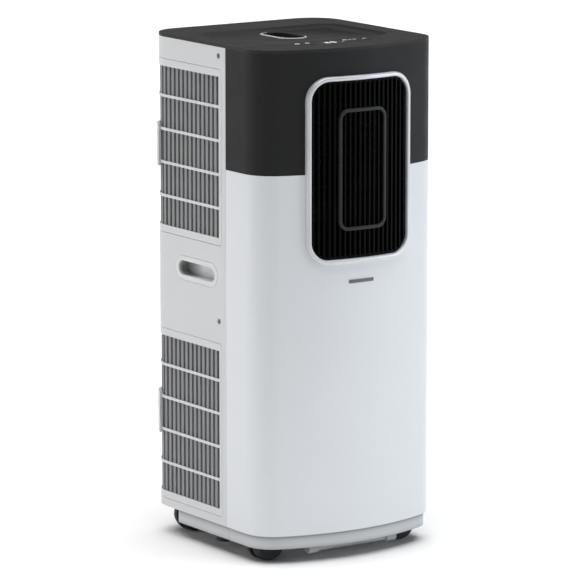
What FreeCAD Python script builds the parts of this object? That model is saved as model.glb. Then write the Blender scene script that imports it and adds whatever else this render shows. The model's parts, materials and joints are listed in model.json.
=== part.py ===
"""Portable air conditioner on casters, in millimetres, +Z up, front towards -Y.

The origin is on the floor under the middle of the machine. The cabinet is a tall box whose front
is a shallow bow, tangent to rounded vertical corners. Air comes in through two U-shaped grilles
that wrap the rear, cool air leaves at the front and warm air leaves through a collar at the rear.
"""

import FreeCAD, Part
import math
import os
from types import SimpleNamespace

import Sketcher
from FreeCAD import Placement, Rotation, Vector

DRIVING_SIZES = {
    # Cabinet: plan outline and heights
    "half_width": 146,
    "reach": 154,
    "corner_radius": 46,
    "bow_radius": 318,
    "parting": 44,
    "wall": 3,
    "shell_low": 40,
    "seam_height": 532,
    "side_top": 696,
    "top_height": 700,
    "seam_gap": 0.4,
    "panel_gap": 0.5,
    "panel_corner": 6,
    "screw_setback": 17,
    "screw_low": 322,
    "screw_high": 684,
    # Intake grilles and filters
    "grille_front": 34,
    "grille_height": 240.5,
    "grille_window": 219.5,
    "upper_grille_centre": 546,
    "lower_grille_centre": 171.5,
    "crossbar_pitch": 46,
    "crossbar_height": 4,
    "slot_width": 5,
    "face_depth": 1.6,
    "slat_depth": 4,
    "filter_inset": 4.5,
    "filter_thickness": 0.8,
    "grip_height": 58,
    "grip_proud": 3.5,
    "ledge_reach": 6.2,
    "frame_inset": 6.5,
    "frame_thickness": 2,
    # Top cover and controls
    "dish_half_width": 115,
    "dish_front": 70,
    "dish_rear": 85,
    "dish_depth": 3.5,
    "dish_radius": 30,
    "dish_slope": 14,
    "recess_width": 38,
    "recess_length": 74,
    "recess_depth": 5,
    "recess_across": -8,
    "recess_along": 22,
    "lip_width": 3,
    "lip_shift": 3.2,
    "lip_proud": 0.6,
    "panel_centre": 95,
    "panel_width": 132,
    "panel_length": 34,
    "panel_depth": 1.2,
    "panel_thickness": 1,
    "key_radius": 5.3,
    "key_travel": 0.5,
    "key_stem_radius": 2.5,
    "display_centre": -11,
    "display_width": 36,
    "display_length": 15,
    "board_low": 682,
    "board_thickness": 2,
    # Air outlet
    "outlet_centre": 535.5,
    "outlet_width": 168,
    "outlet_height": 253,
    "outlet_radius": 32,
    "outlet_bar": 6,
    "outlet_proud": 6.5,
    "guard_pitch": 7.8,
    "guard_bar": 2.6,
    "ring_width": 72,
    "ring_height": 160,
    "ring_stroke": 5,
    "ring_radius": 12,
    "duct_half_width": 78,
    "duct_half_height": 121,
    "duct_throat": 74,
    "duct_wall": 2,
    "blade_pitch": 44,
    "blade_chord": 34,
    "blade_thickness": 2.4,
    "blade_axis": 114,
    "blade_pin_radius": 2,
    "crank_throw": 10,
    "crank_pin_radius": 1.5,
    "running_gap": 0.05,
    # Hand recesses, exhaust, cord inlet and drains
    "cup_centre_along": 28.8,
    "cup_centre_height": 383.1,
    "cup_flange_width": 103.3,
    "cup_flange_height": 33.2,
    "cup_mouth_width": 90,
    "cup_mouth_height": 20.4,
    "cup_depth": 15,
    "cup_wall": 2.5,
    "exhaust_height": 358.5,
    "exhaust_bore": 56,
    "exhaust_wall": 4,
    "service_offset": 82,
    "service_height": 312,
    "drain_across": -118,
    "drain_along": 5,
    # Base, skirt, rail and casters
    "pan_low": 50,
    "pan_thickness": 3,
    "skirt_inset": 4,
    "skirt_wall": 2.5,
    "skirt_low": 21,
    "skirt_rear": 90,
    "skirt_radius": 10,
    "rail_front": 130,
    "rail_height": 17,
    "rail_radius": 5,
    "rail_half_length": 57,
    "rail_cap_radius": 7,
    "rail_cap_length": 15,
    "front_caster_across": 108.5,
    "front_caster_reach": 90,
    "rear_caster_across": 96.5,
    "rear_caster_reach": 110,
    "caster_trail": 5.5,
    "wheel_radius": 23,
    "wheel_inner": 4,
    "wheel_crown": 5,
    "wheel_outer": 16,
    "caster_web": 3.4,
    "axle_radius": 3,
    "stem_radius": 5,
    # Cooling circuit and fans
    "deck_low": 428,
    "coil_half_width": 96,
    "coil_front": 106,
    "coil_rear": 132,
    "shaft_radius": 4,
    "motor_radius": 34,
    "evaporator_fan_radius": 68,
    "evaporator_fan_axis": 10,
    "condenser_fan_radius": 80,
    "condenser_fan_height": 185,
    "compressor_radius": 50,
}

DOC = FreeCAD.newDocument("PortableAirConditioner")
NODES = []
FAR = 300
SIDES = {"left": -1, "right": 1}
KEYS = {"power_key": -57, "mode_key": -41, "fan_key": 20, "down_key": 36, "up_key": 52}
AXIS_TURNS = {
    "X": Rotation(Vector(0, 1, 0), 90),
    "Y": Rotation(Vector(1, 0, 0), -90),
    "Z": Rotation(),
}


class Size:
    """A length that carries its value and the sheet expression it comes from."""

    def __init__(self, value, text):
        self.value = float(value)
        self.text = text

    def __add__(self, other):
        other = as_size(other)
        return Size(self.value + other.value, f"({self.text} + {other.text})")

    def __sub__(self, other):
        other = as_size(other)
        return Size(self.value - other.value, f"({self.text} - {other.text})")

    def __mul__(self, other):
        other = as_size(other)
        return Size(self.value * other.value, f"({self.text} * {other.text})")

    def __truediv__(self, other):
        other = as_size(other)
        return Size(self.value / other.value, f"({self.text} / {other.text})")

    def __radd__(self, other):
        return as_size(other) + self

    def __rsub__(self, other):
        return as_size(other) - self

    def __rmul__(self, other):
        return as_size(other) * self

    def __neg__(self):
        return as_size(0) - self


def as_size(number):
    return number if isinstance(number, Size) else Size(number, f"({number})")


def make_sheet():
    """Write the driving dimensions to the sheet and return them by name."""
    sheet = DOC.addObject("Spreadsheet::Sheet", "Sizes")
    for row, (name, number) in enumerate(DRIVING_SIZES.items(), 1):
        sheet.set(f"A{row}", name)
        sheet.set(f"B{row}", str(number))
        sheet.setAlias(f"B{row}", name)
    DOC.recompute()
    sizes = {name: Size(number, "Sizes." + name) for name, number in DRIVING_SIZES.items()}
    return SimpleNamespace(**sizes)


DIM = make_sheet()
DISH_FLOOR = DIM.top_height - DIM.dish_depth
PAN_TOP = DIM.pan_low + DIM.pan_thickness
BELT_LOW = DIM.lower_grille_centre + DIM.grille_height / 2
BELT_HIGH = DIM.upper_grille_centre - DIM.grille_height / 2
CORNER_START = DIM.reach - DIM.corner_radius
GRILLES = {"upper": DIM.upper_grille_centre, "lower": DIM.lower_grille_centre}


# Building blocks


def bind(item, prop, size):
    item.setExpression(prop, as_size(size).text)


def name_node(item, label):
    """Give a finished sub-part its name and list it for export."""
    item.Label = label
    NODES.append(item)
    return item


def place(item, x, y, z, turn=Rotation()):
    item.Placement = Placement(Vector(), turn)
    for axis, size in zip("xyz", (x, y, z)):
        bind(item, "Placement.Base." + axis, size)


def box(name, x, y, z):
    """A box between a low and a high bound along each axis."""
    item = DOC.addObject("Part::Box", name)
    for prop, (low, high) in zip(("Length", "Width", "Height"), (x, y, z)):
        bind(item, prop, as_size(high) - low)
    place(item, x[0], y[0], z[0])
    return item


def cylinder(name, axis, start, radius, length):
    """A cylinder that runs from a start point in the positive direction of an axis."""
    item = DOC.addObject("Part::Cylinder", name)
    bind(item, "Radius", radius)
    bind(item, "Height", length)
    place(item, *start, AXIS_TURNS[axis])
    return item


def gather(name, items, kind="Part::MultiFuse"):
    """Join several shapes: one solid from overlapping ones, or a group of separate solids."""
    item = DOC.addObject(kind, name)
    if kind == "Part::Compound":
        item.Links = items
    else:
        item.Shapes = items
    return item


def cut(name, base, *tools):
    item = DOC.addObject("Part::Cut", name)
    item.Base = base
    item.Tool = tools[0] if len(tools) == 1 else gather(name + "_tools", list(tools))
    return item


def common(name, first, second):
    item = DOC.addObject("Part::Common", name)
    item.Base = first
    item.Tool = second
    return item


def tube(name, axis, start, outer, inner, length):
    """A hollow cylinder."""
    bore_start = list(start)
    lane = "XYZ".index(axis)
    bore_start[lane] = as_size(start[lane]) - 1
    core = cylinder(name + "_bore", axis, bore_start, inner, as_size(length) + 2)
    return cut(name, cylinder(name + "_outer", axis, start, outer, length), core)


def new_sketch(body, role, offset):
    """A sketch on one of the body's own origin planes, moved by a bound offset."""
    sketch = body.newObject("Sketcher::SketchObject", body.Name + "_outline")
    plane = [item for item in body.Origin.OriginFeatures if item.Role == role][0]
    sketch.AttachmentSupport = (plane, [""])
    sketch.MapMode = "FlatFace"
    for axis, size in zip("xyz", offset):
        bind(sketch, "AttachmentOffset.Base." + axis, size)
    return sketch


def constrain(sketch, kind, *places, size=None, name=""):
    """Add one constraint; with a size it is a dimension bound to the sheet."""
    if size is None:
        sketch.addConstraint(Sketcher.Constraint(kind, *places))
        return
    index = sketch.addConstraint(Sketcher.Constraint(kind, *places, size.value))
    sketch.renameConstraint(index, name)
    bind(sketch, "Constraints." + name, size)


def pad_and_round(body, sketch, depth, radius):
    """Pad the sketch and round the edges that run along the pad."""
    pad = body.newObject("PartDesign::Pad", body.Name + "_pad")
    pad.Profile = sketch
    bind(pad, "Length", depth)
    DOC.recompute()
    along = sketch.Placement.Rotation.multVec(Vector(0, 0, 1))
    edges = []
    for index, edge in enumerate(pad.Shape.Edges, 1):
        run = edge.Vertexes[-1].Point - edge.Vertexes[0].Point
        if isinstance(edge.Curve, Part.Line) and run.cross(along).Length < 1e-6:
            edges.append(f"Edge{index}")
    fillet = body.newObject("PartDesign::Fillet", body.Name + "_rounding")
    fillet.Base = (pad, edges)
    bind(fillet, "Radius", radius)
    body.Tip = fillet
    return body


def outline_block(name, inset, low, high):
    """A solid with the cabinet's plan outline, drawn in by inset, between two heights."""
    body = DOC.addObject("PartDesign::Body", name)
    sketch = new_sketch(body, "XY_Plane", (0, 0, low))
    half = DIM.half_width - inset
    rear = DIM.reach - inset
    radius = DIM.bow_radius - inset
    centre = DIM.bow_radius - DIM.reach
    front_y = centre.value - math.sqrt(radius.value**2 - half.value**2)
    rear_left = Vector(-half.value, rear.value, 0)
    rear_right = Vector(half.value, rear.value, 0)
    front_left = Vector(-half.value, front_y, 0)
    front_right = Vector(half.value, front_y, 0)
    spread = math.asin(half.value / radius.value)
    circle = Part.Circle(Vector(0, centre.value, 0), Vector(0, 0, 1), radius.value)
    back = sketch.addGeometry(Part.LineSegment(rear_left, rear_right))
    right = sketch.addGeometry(Part.LineSegment(rear_right, front_right))
    left = sketch.addGeometry(Part.LineSegment(front_left, rear_left))
    bow = sketch.addGeometry(Part.ArcOfCircle(circle, -math.pi / 2 - spread, -math.pi / 2 + spread))
    constrain(sketch, "Coincident", back, 2, right, 1)
    constrain(sketch, "Coincident", right, 2, bow, 2)
    constrain(sketch, "Coincident", bow, 1, left, 1)
    constrain(sketch, "Coincident", left, 2, back, 1)
    constrain(sketch, "Horizontal", back)
    constrain(sketch, "Vertical", right)
    constrain(sketch, "Vertical", left)
    constrain(sketch, "PointOnObject", bow, 3, -2)
    constrain(sketch, "DistanceX", -1, 1, back, 2, size=half, name="right_half")
    constrain(sketch, "DistanceX", back, 1, -1, 1, size=half, name="left_half")
    constrain(sketch, "DistanceY", -1, 1, back, 2, size=rear, name="rear_reach")
    constrain(sketch, "DistanceY", -1, 1, bow, 3, size=centre, name="bow_centre")
    constrain(sketch, "Radius", bow, size=radius, name="bow_radius")
    return pad_and_round(body, sketch, as_size(high) - low, DIM.corner_radius - inset)


def ring(name, outer_inset, inner_inset, low, high):
    """An upright wall that follows the cabinet's outline between two insets."""
    inner = outline_block(name + "_inner", as_size(inner_inset), as_size(low) - 1, as_size(high) + 1)
    return cut(name, outline_block(name + "_outer", as_size(outer_inset), low, high), inner)


def rounded_block(name, plane, centre, width, height, radius, span):
    """A rectangular block with rounded edges, drawn on a plane and spanning its normal axis."""
    body = DOC.addObject("PartDesign::Body", name)
    low, high = as_size(span[0]), as_size(span[1])
    start = -high if plane == "XZ" else low
    sketch = new_sketch(body, plane + "_Plane", (centre[0], centre[1], start))
    width, height = as_size(width), as_size(height)
    across, up = width.value / 2, height.value / 2
    signs = ((-1, -1), (1, -1), (1, 1), (-1, 1))
    corners = [Vector(across * right, up * above, 0) for right, above in signs]
    for index in range(4):
        sketch.addGeometry(Part.LineSegment(corners[index], corners[(index + 1) % 4]))
    for index in range(4):
        constrain(sketch, "Coincident", index, 2, (index + 1) % 4, 1)
    for index in (0, 2):
        constrain(sketch, "Horizontal", index)
    for index in (1, 3):
        constrain(sketch, "Vertical", index)
    constrain(sketch, "Symmetric", 0, 1, 1, 2, -1, 1)
    constrain(sketch, "DistanceX", 0, 1, 0, 2, size=width, name="width")
    constrain(sketch, "DistanceY", 1, 1, 1, 2, size=height, name="height")
    return pad_and_round(body, sketch, high - low, radius)


def slope_low_edge(body, rise, run):
    """Slope the walls of an upright body inwards around its bottom face."""
    rounded = body.Tip
    DOC.recompute()
    bottom = rounded.Shape.BoundBox.ZMin
    edges = []
    for index, edge in enumerate(rounded.Shape.Edges, 1):
        if abs(edge.BoundBox.ZMax - bottom) < 1e-4:
            edges.append(f"Edge{index}")
    slope = body.newObject("PartDesign::Chamfer", body.Name + "_slope")
    slope.Base = (rounded, edges)
    slope.ChamferType = "Two distances"
    bind(slope, "Size", rise)
    bind(slope, "Size2", run)
    body.Tip = slope
    return body


def rounded_ring(name, plane, centre, width, height, radius, stroke, span):
    """A flat frame with rounded corners; width and height are its outer sizes."""
    outer = rounded_block(name + "_outer", plane, centre, width, height, radius, span)
    inner_span = (as_size(span[0]) - 1, as_size(span[1]) + 1)
    width, height = as_size(width) - stroke * 2, as_size(height) - stroke * 2
    inner_radius = as_size(radius) - stroke
    inner = rounded_block(name + "_inner", plane, centre, width, height, inner_radius, inner_span)
    return cut(name, outer, inner)


def front_of(y):
    return box("front_of", (-FAR, FAR), (-FAR, y), (-FAR, 3 * FAR))


def behind(y):
    return box("behind", (-FAR, FAR), (y, FAR), (-FAR, 3 * FAR))


# Cabinet


def outlet_hole():
    """The opening that both front shells share for the collar of the outlet frame."""
    cover = DIM.outlet_bar - 2.5
    width = DIM.outlet_width - cover * 2
    height = DIM.outlet_height - cover * 2
    radius = DIM.outlet_radius - cover
    return rounded_block("outlet_hole", "XZ", (0, DIM.outlet_centre), width, height, radius, (-FAR, -100))


def front_shells():
    """The white lower and the dark upper half of the bowed front."""
    hole = outlet_hole()
    heights = {
        "front_lower_shell": (DIM.shell_low, DIM.seam_height),
        "front_upper_shell": (DIM.seam_height, DIM.side_top),
    }
    for label, (low, high) in heights.items():
        band = ring(label + "_ring", 0, DIM.wall, low, high)
        wall = common(label + "_wall", band, front_of(-DIM.parting - DIM.seam_gap))
        name_node(cut(label, wall, hole), label)


def cup_block(name, side, width, height, near, far):
    """A slot-shaped block through a side wall; near and far are distances from the middle plane."""
    span = (near, far) if side > 0 else (-as_size(far), -as_size(near))
    centre = (DIM.cup_centre_along, DIM.cup_centre_height)
    return rounded_block(name, "YZ", centre, width, height, as_size(height) / 2 - 0.05, span)


def hand_cups():
    """A slot-shaped hand recess in each side, its flange let into the casing around the mouth."""
    holes = []
    flange_low, flange_high = DIM.half_width - 0.8, DIM.half_width + 0.2
    outside = DIM.half_width + 2
    mouth_width, mouth_height = DIM.cup_mouth_width, DIM.cup_mouth_height
    rim_width, rim_height = mouth_width + DIM.cup_wall * 2, mouth_height + DIM.cup_wall * 2
    depth = DIM.half_width - DIM.cup_depth
    gap = DIM.panel_gap * 2
    for label, side in SIDES.items():
        node = label + "_hand_cup"
        width, height = DIM.cup_flange_width, DIM.cup_flange_height
        flange = cup_block(node + "_flange", side, width, height, flange_low, flange_high)
        floor = depth - DIM.cup_wall
        pocket = cup_block(node + "_pocket", side, rim_width, rim_height, floor, DIM.half_width)
        mouth = cup_block(node + "_mouth", side, mouth_width, mouth_height, depth, outside)
        name_node(cut(node, gather(node + "_body", [flange, pocket]), mouth), node)
        holes.append(cup_block(node + "_hole", side, rim_width + 1, rim_height + 1, depth, outside))
        holes.append(cup_block(node + "_seat", side, width + gap, height + gap, flange_low, outside))
    return holes


def screw_places():
    """Side, distance along the cabinet and height of each casing screw."""
    along = DIM.screw_setback - DIM.parting
    heights = (DIM.screw_low, DIM.screw_high)
    return [(side, along, height) for side in SIDES.values() for height in heights]


def panel_outline(name, centre, gap):
    """A block through both sides with the outline of an intake panel, rounded at its front corners."""
    front = -DIM.grille_front + gap
    width, height = FAR - front, DIM.grille_height - gap * 2
    middle = ((FAR + front) / 2, centre)
    return rounded_block(name, "YZ", middle, width, height, DIM.panel_corner - gap, (-FAR, FAR))


def belt_zones():
    """The five mouldings of the rear casing: two frames, and a belt in three parts between them."""
    wide = (-FAR, FAR)
    belt = (BELT_LOW, BELT_HIGH)
    return {
        "lower_frame": box("lower_frame_zone", wide, wide, (0, BELT_LOW)),
        "upper_frame": box("upper_frame_zone", wide, wide, (BELT_HIGH, DIM.top_height)),
        "left_belt": box("left_belt_zone", (-FAR, 0), (-FAR, CORNER_START), belt),
        "right_belt": box("right_belt_zone", (0, FAR), (-FAR, CORNER_START), belt),
        "rear_belt": box("rear_belt_zone", wide, (CORNER_START, FAR), belt),
    }


def rear_shell():
    """The U-shaped rear casing, open where the two grilles sit, with a ledge around each."""
    band = ring("rear_ring", 0, DIM.wall, DIM.shell_low, DIM.side_top)
    wall = common("rear_wall", band, behind(-DIM.parting))
    pieces = []
    openings = []
    for label, centre in GRILLES.items():
        low, high = centre - DIM.grille_height / 2, centre + DIM.grille_height / 2
        openings.append(panel_outline(label + "_opening", centre, 0))
        for edge, bottom in (("low", low - 4), ("high", high)):
            name = f"{label}_{edge}_ledge"
            ledge = ring(name + "_ring", DIM.wall - 1, DIM.ledge_reach, bottom, bottom + 4)
            pieces.append(common(name, ledge, behind(-DIM.grille_front)))
    opened = cut("rear_wall_opened", wall, *openings)
    joined = gather("rear_wall_ledges", [opened] + pieces)
    holes = hand_cups()
    collar_radius = DIM.exhaust_bore + DIM.exhaust_wall
    holes.append(cylinder("exhaust_hole", "Y", (0, 130, DIM.exhaust_height), collar_radius + 1, 40))
    for side in (-1, 1):
        start = (side * DIM.service_offset, 140, DIM.service_height)
        holes.append(cylinder("service_hole", "Y", start, 8, 30))
    for side, y, height in screw_places():
        x = DIM.half_width - 1.5 if side > 0 else -DIM.half_width - 1
        holes.append(cylinder("screw_seat", "X", (x, y, height), 4, 2.5))
        x = DIM.half_width - 5 if side > 0 else -DIM.half_width
        holes.append(cylinder("screw_hole", "X", (x, y, height), 1.9, 5))
    casing = cut("rear_casing", joined, *holes)
    mouldings = [common(label, casing, zone) for label, zone in belt_zones().items()]
    name_node(gather("rear_shell", mouldings, "Part::Compound"), "rear_shell")


def shell_screws():
    """Four countersunk screws that hold the rear casing to the front."""
    screws = []
    for side, y, height in screw_places():
        head_x = DIM.half_width - 1.5 if side > 0 else -DIM.half_width + 0.3
        shank_x = DIM.half_width - 6 if side > 0 else -DIM.half_width + 1.2
        head = cylinder("screw_head", "X", (head_x, y, height), 3.6, 1.2)
        shank = cylinder("screw_shank", "X", (shank_x, y, height), 1.8, 4.8)
        screws.append(gather("screw", [head, shank]))
    name_node(gather("shell_screws", screws, "Part::Compound"), "shell_screws")


def inner_frame():
    """The open frame behind the rear casing, with posts at the corners and bands between the windows."""
    inner = DIM.frame_inset + DIM.frame_thickness
    wall = common("frame_wall", ring("frame_ring", DIM.frame_inset, inner, PAN_TOP, 686), behind(-30))
    windows = []
    heights = [(BELT_LOW + 4.25, BELT_HIGH - 4.75)]
    for centre in GRILLES.values():
        heights.append((centre - DIM.grille_window / 2, centre + DIM.grille_window / 2))
    for low, high in heights:
        windows.append(box("side_window", (-FAR, FAR), (-24, 98), (low, high)))
        windows.append(box("rear_window", (-94, 94), (100, FAR), (low, high)))
    name_node(cut("inner_frame", wall, *windows), "inner_frame")


def path_length_to_slots():
    """Length of the outline from the middle of the rear to the foremost slot."""
    radius = DIM.corner_radius.value
    flat = DIM.half_width.value - radius
    side = DIM.reach.value - radius + DIM.grille_front.value - 12
    return flat + radius * math.pi / 2 + side


def outline_point(length):
    """Point and outward angle on the outline, measured from the rear middle; negative goes left."""
    radius = DIM.corner_radius.value
    flat = DIM.half_width.value - radius
    turn = radius * math.pi / 2
    side = 1 if length >= 0 else -1
    run = abs(length)
    if run < flat:
        x, y, angle = run, DIM.reach.value, 90.0
    elif run < flat + turn:
        angle = 90.0 - math.degrees((run - flat) / radius)
        x = flat + radius * math.cos(math.radians(angle))
        y = DIM.reach.value - radius + radius * math.sin(math.radians(angle))
    else:
        x, y, angle = DIM.half_width.value, DIM.reach.value - radius - (run - flat - turn), 0.0
    if side < 0:
        return -x, y, 180.0 - angle
    return x, y, angle


def slot_cutters(name, low):
    """Upright cutters, one per slot, spread evenly along the grille from side to side."""
    half_count = 29
    reach_in = 6
    pitch = path_length_to_slots() / (half_count - 0.5)
    cutters = []
    for index in range(2 * half_count):
        x, y, angle = outline_point((index - half_count + 0.5) * pitch)
        turn = Rotation(Vector(0, 0, 1), angle)
        corner = Vector(x, y, 0) + turn.multVec(Vector(-reach_in, -DIM.slot_width.value / 2, 0))
        item = DOC.addObject("Part::Box", name)
        bind(item, "Length", reach_in)
        bind(item, "Width", DIM.slot_width)
        bind(item, "Height", DIM.grille_window)
        place(item, corner.x, corner.y, low, turn)
        cutters.append(item)
    return gather(name + "_all", cutters, "Part::Compound")


def intake_grille(label, centre):
    """A U-shaped grille: upright slats behind flush crossbars, with a raised grip at each rear corner."""
    gap = DIM.panel_gap
    front = -DIM.grille_front + gap
    low, high = centre - DIM.grille_height / 2 + gap, centre + DIM.grille_height / 2 - gap
    window_low = centre - DIM.grille_window / 2
    panel = panel_outline(label + "_panel", centre, gap)
    face = common(label + "_face", ring(label + "_face_ring", 0, DIM.face_depth, low, high), panel)
    rows = []
    row_low = window_low
    for step in (-1.5, -0.5, 0.5, 1.5):
        bar_low = centre + DIM.crossbar_pitch * step - DIM.crossbar_height / 2
        rows.append(box(label + "_row", (-FAR, FAR), (front + 6, FAR), (row_low, bar_low)))
        row_low = bar_low + DIM.crossbar_height
    row_high = centre + DIM.grille_window / 2
    rows.append(box(label + "_row", (-FAR, FAR), (front + 6, FAR), (row_low, row_high)))
    open_face = cut(label + "_open_face", face, gather(label + "_rows", rows, "Part::Compound"))
    back_ring = ring(label + "_slat_ring", DIM.face_depth, DIM.slat_depth, low, high)
    back = common(label + "_back", back_ring, panel)
    slats = cut(label + "_slats", back, slot_cutters(label + "_slot", window_low))
    grip_low = centre - DIM.grip_height / 2
    grip_ring = ring(label + "_grip_ring", -DIM.grip_proud, 0.6, grip_low, grip_low + DIM.grip_height)
    grips = []
    for low_x, high_x in ((-160, -119), (119, 160)):
        zone = box(label + "_grip_zone", (low_x, high_x), (120, 170), (0, DIM.top_height))
        grips.append(common(label + "_grip", grip_ring, zone))
    name_node(gather(label, [open_face, slats] + grips), label)


def intake_filter(label, centre):
    """A thin U-shaped filter screen carried on the back of its grille."""
    low, high = centre - DIM.grille_height / 2 + 3, centre + DIM.grille_height / 2 - 3
    screen = ring(label + "_ring", DIM.filter_inset, DIM.filter_inset + DIM.filter_thickness, low, high)
    name_node(common(label, screen, behind(-DIM.grille_front + 3)), label)


def exhaust_collar():
    """The round socket at the rear that the exhaust hose's adaptor pushes into."""
    outer = DIM.exhaust_bore + DIM.exhaust_wall
    sleeve = cylinder("collar_sleeve", "Y", (0, 102, DIM.exhaust_height), outer, 60)
    flange = cylinder("collar_flange", "Y", (0, DIM.reach, DIM.exhaust_height), outer + 4, 3)
    bore = cylinder("collar_bore", "Y", (0, 100, DIM.exhaust_height), DIM.exhaust_bore, 64)
    name_node(cut("exhaust_collar", gather("collar_body", [sleeve, flange]), bore), "exhaust_collar")


def services():
    """The cord inlet and the two drains, each drain with a rubber plug that pulls out."""
    x, height = DIM.service_offset, DIM.service_height
    sleeve = tube("inlet_sleeve", "Y", (-x, 146, height), 7.7, 4, 10)
    flange = tube("inlet_flange", "Y", (-x, DIM.reach, height), 11, 4, 3)
    name_node(gather("cord_inlet", [sleeve, flange]), "cord_inlet")
    rear_sleeve = tube("rear_spout_sleeve", "Y", (x, 140, height), 7.7, 4.5, 16)
    rear_flange = tube("rear_spout_flange", "Y", (x, DIM.reach, height), 11, 4.5, 3)
    rear_spout = gather("rear_spout", [rear_sleeve, rear_flange])
    drain_x, drain_y = DIM.drain_across, DIM.drain_along
    bottom_spout = tube("bottom_spout", "Z", (drain_x, drain_y, 27), 8, 4.5, DIM.pan_low - 27)
    name_node(gather("drain_spouts", [rear_spout, bottom_spout], "Part::Compound"), "drain_spouts")
    head = cylinder("rear_plug_head", "Y", (x, DIM.reach + 3.3, height), 9, 4)
    stem = cylinder("rear_plug_stem", "Y", (x, DIM.reach - 9, height), 4.2, 13)
    name_node(gather("rear_drain_plug", [head, stem]), "rear_drain_plug")
    head = cylinder("bottom_plug_head", "Z", (drain_x, drain_y, 8), 10, 18.7)
    stem = cylinder("bottom_plug_stem", "Z", (drain_x, drain_y, 26), 4.2, 12)
    name_node(gather("bottom_drain_plug", [head, stem]), "bottom_drain_plug")


# Top cover and controls


def key_holes(name, radius, low, high):
    """Round clearance holes for the keys, one per key."""
    holes = []
    for x in KEYS.values():
        holes.append(cylinder(name, "Z", (x, -DIM.panel_centre, low), radius, as_size(high) - low))
    return holes


def top_cover():
    """The dark top: a rim around a shallow sloped dish, with a recess and a pocket for the controls."""
    rim = outline_block("cover_rim", as_size(0), DIM.side_top, DIM.top_height)
    floor = outline_block("cover_floor", DIM.wall, DISH_FLOOR - 3, DIM.side_top)
    lip = ring("cover_lip", DIM.wall, DIM.wall * 2, 687, DIM.side_top)
    centre = (DIM.recess_across, DIM.recess_along)
    cup_span = (DISH_FLOOR - DIM.recess_depth - 2, DISH_FLOOR)
    cup_width, cup_length = DIM.recess_width + 5, DIM.recess_length + 5
    cup = rounded_block("recess_cup", "XY", centre, cup_width, cup_length, cup_width / 2 - 0.05, cup_span)
    body = gather("cover_body", [rim, floor, lip, cup])
    dish_length = DIM.dish_front + DIM.dish_rear
    dish_centre = (0, (DIM.dish_rear - DIM.dish_front) / 2)
    dish_span = (DISH_FLOOR, DIM.top_height + 5)
    dish_width = DIM.dish_half_width * 2
    dish = rounded_block("dish", "XY", dish_centre, dish_width, dish_length, DIM.dish_radius, dish_span)
    slope_low_edge(dish, DIM.dish_depth - 0.1, DIM.dish_slope)
    recess_radius = DIM.recess_width / 2 - 0.05
    recess_span = (DISH_FLOOR - DIM.recess_depth, DIM.top_height)
    width, length = DIM.recess_width, DIM.recess_length
    recess = rounded_block("recess", "XY", centre, width, length, recess_radius, recess_span)
    pocket_span = (DIM.top_height - DIM.panel_depth, DIM.top_height + 5)
    pocket_centre = (0, -DIM.panel_centre)
    width, length = DIM.panel_width, DIM.panel_length
    pocket = rounded_block("panel_pocket", "XY", pocket_centre, width, length, 8, pocket_span)
    holes = key_holes("cover_key_hole", DIM.key_radius + 0.3, 690, DIM.top_height)
    name_node(cut("top_cover", body, dish, recess, pocket, *holes), "top_cover")


def recess_lip():
    """A bright crescent lip along the left and the front of the recess."""
    centre = (DIM.recess_across, DIM.recess_along)
    width, length = DIM.recess_width, DIM.recess_length
    rim_width, rim_length = width + DIM.lip_width * 2, length + DIM.lip_width * 2
    span = (DISH_FLOOR, DISH_FLOOR + DIM.lip_proud)
    outer = rounded_block("lip_outer", "XY", centre, rim_width, rim_length, rim_width / 2 - 0.05, span)
    shifted = (centre[0] + DIM.lip_shift, centre[1] + DIM.lip_shift)
    inner_span = (DISH_FLOOR - 1, DISH_FLOOR + 4)
    inner = rounded_block("lip_inner", "XY", shifted, width, length, width / 2 - 0.05, inner_span)
    name_node(cut("top_recess_lip", outer, inner), "top_recess_lip")


def controls():
    """The glossy control panel, its display window, the keys and the board with their switches."""
    low = DIM.top_height - DIM.panel_depth
    span = (low, low + DIM.panel_thickness)
    wide_span = (low - 1, low + 4)
    centre = (0, -DIM.panel_centre)
    display_centre = (DIM.display_centre, -DIM.panel_centre)
    plate = rounded_block("panel_plate", "XY", centre, DIM.panel_width, DIM.panel_length, 8, span)
    width, length = DIM.display_width, DIM.display_length
    window_hole = rounded_block("display_hole", "XY", display_centre, width, length, 2, wide_span)
    holes = key_holes("panel_key_hole", DIM.key_radius + 0.3, low - 1, low + 3)
    name_node(cut("control_panel", plate, window_hole, *holes), "control_panel")
    window = rounded_block("display_window", "XY", display_centre, width, length, 2, span)
    name_node(window, "display_window")
    switches = []
    y = -DIM.panel_centre
    stem_low = DIM.board_low + 8
    board_top = DIM.board_low + DIM.board_thickness
    for label, x in KEYS.items():
        cap = cylinder(label + "_cap", "Z", (x, y, DIM.top_height - 3), DIM.key_radius, 3)
        stem_length = DIM.top_height - 2 - stem_low
        stem = cylinder(label + "_stem", "Z", (x, y, stem_low), DIM.key_stem_radius, stem_length)
        name_node(gather(label, [cap, stem]), label)
        switch_top = stem_low - DIM.key_travel - 0.1
        switches.append(box("switch", (x - 3, x + 3), (y - 3, y + 3), (board_top, switch_top)))
    half = DIM.panel_width / 2 + 2
    board = box("board", (-half, half), (y - 18, y + 24), (DIM.board_low, board_top))
    name_node(gather("control_board", [board] + switches, "Part::Compound"), "control_board")


# Air outlet and louvres


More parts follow.
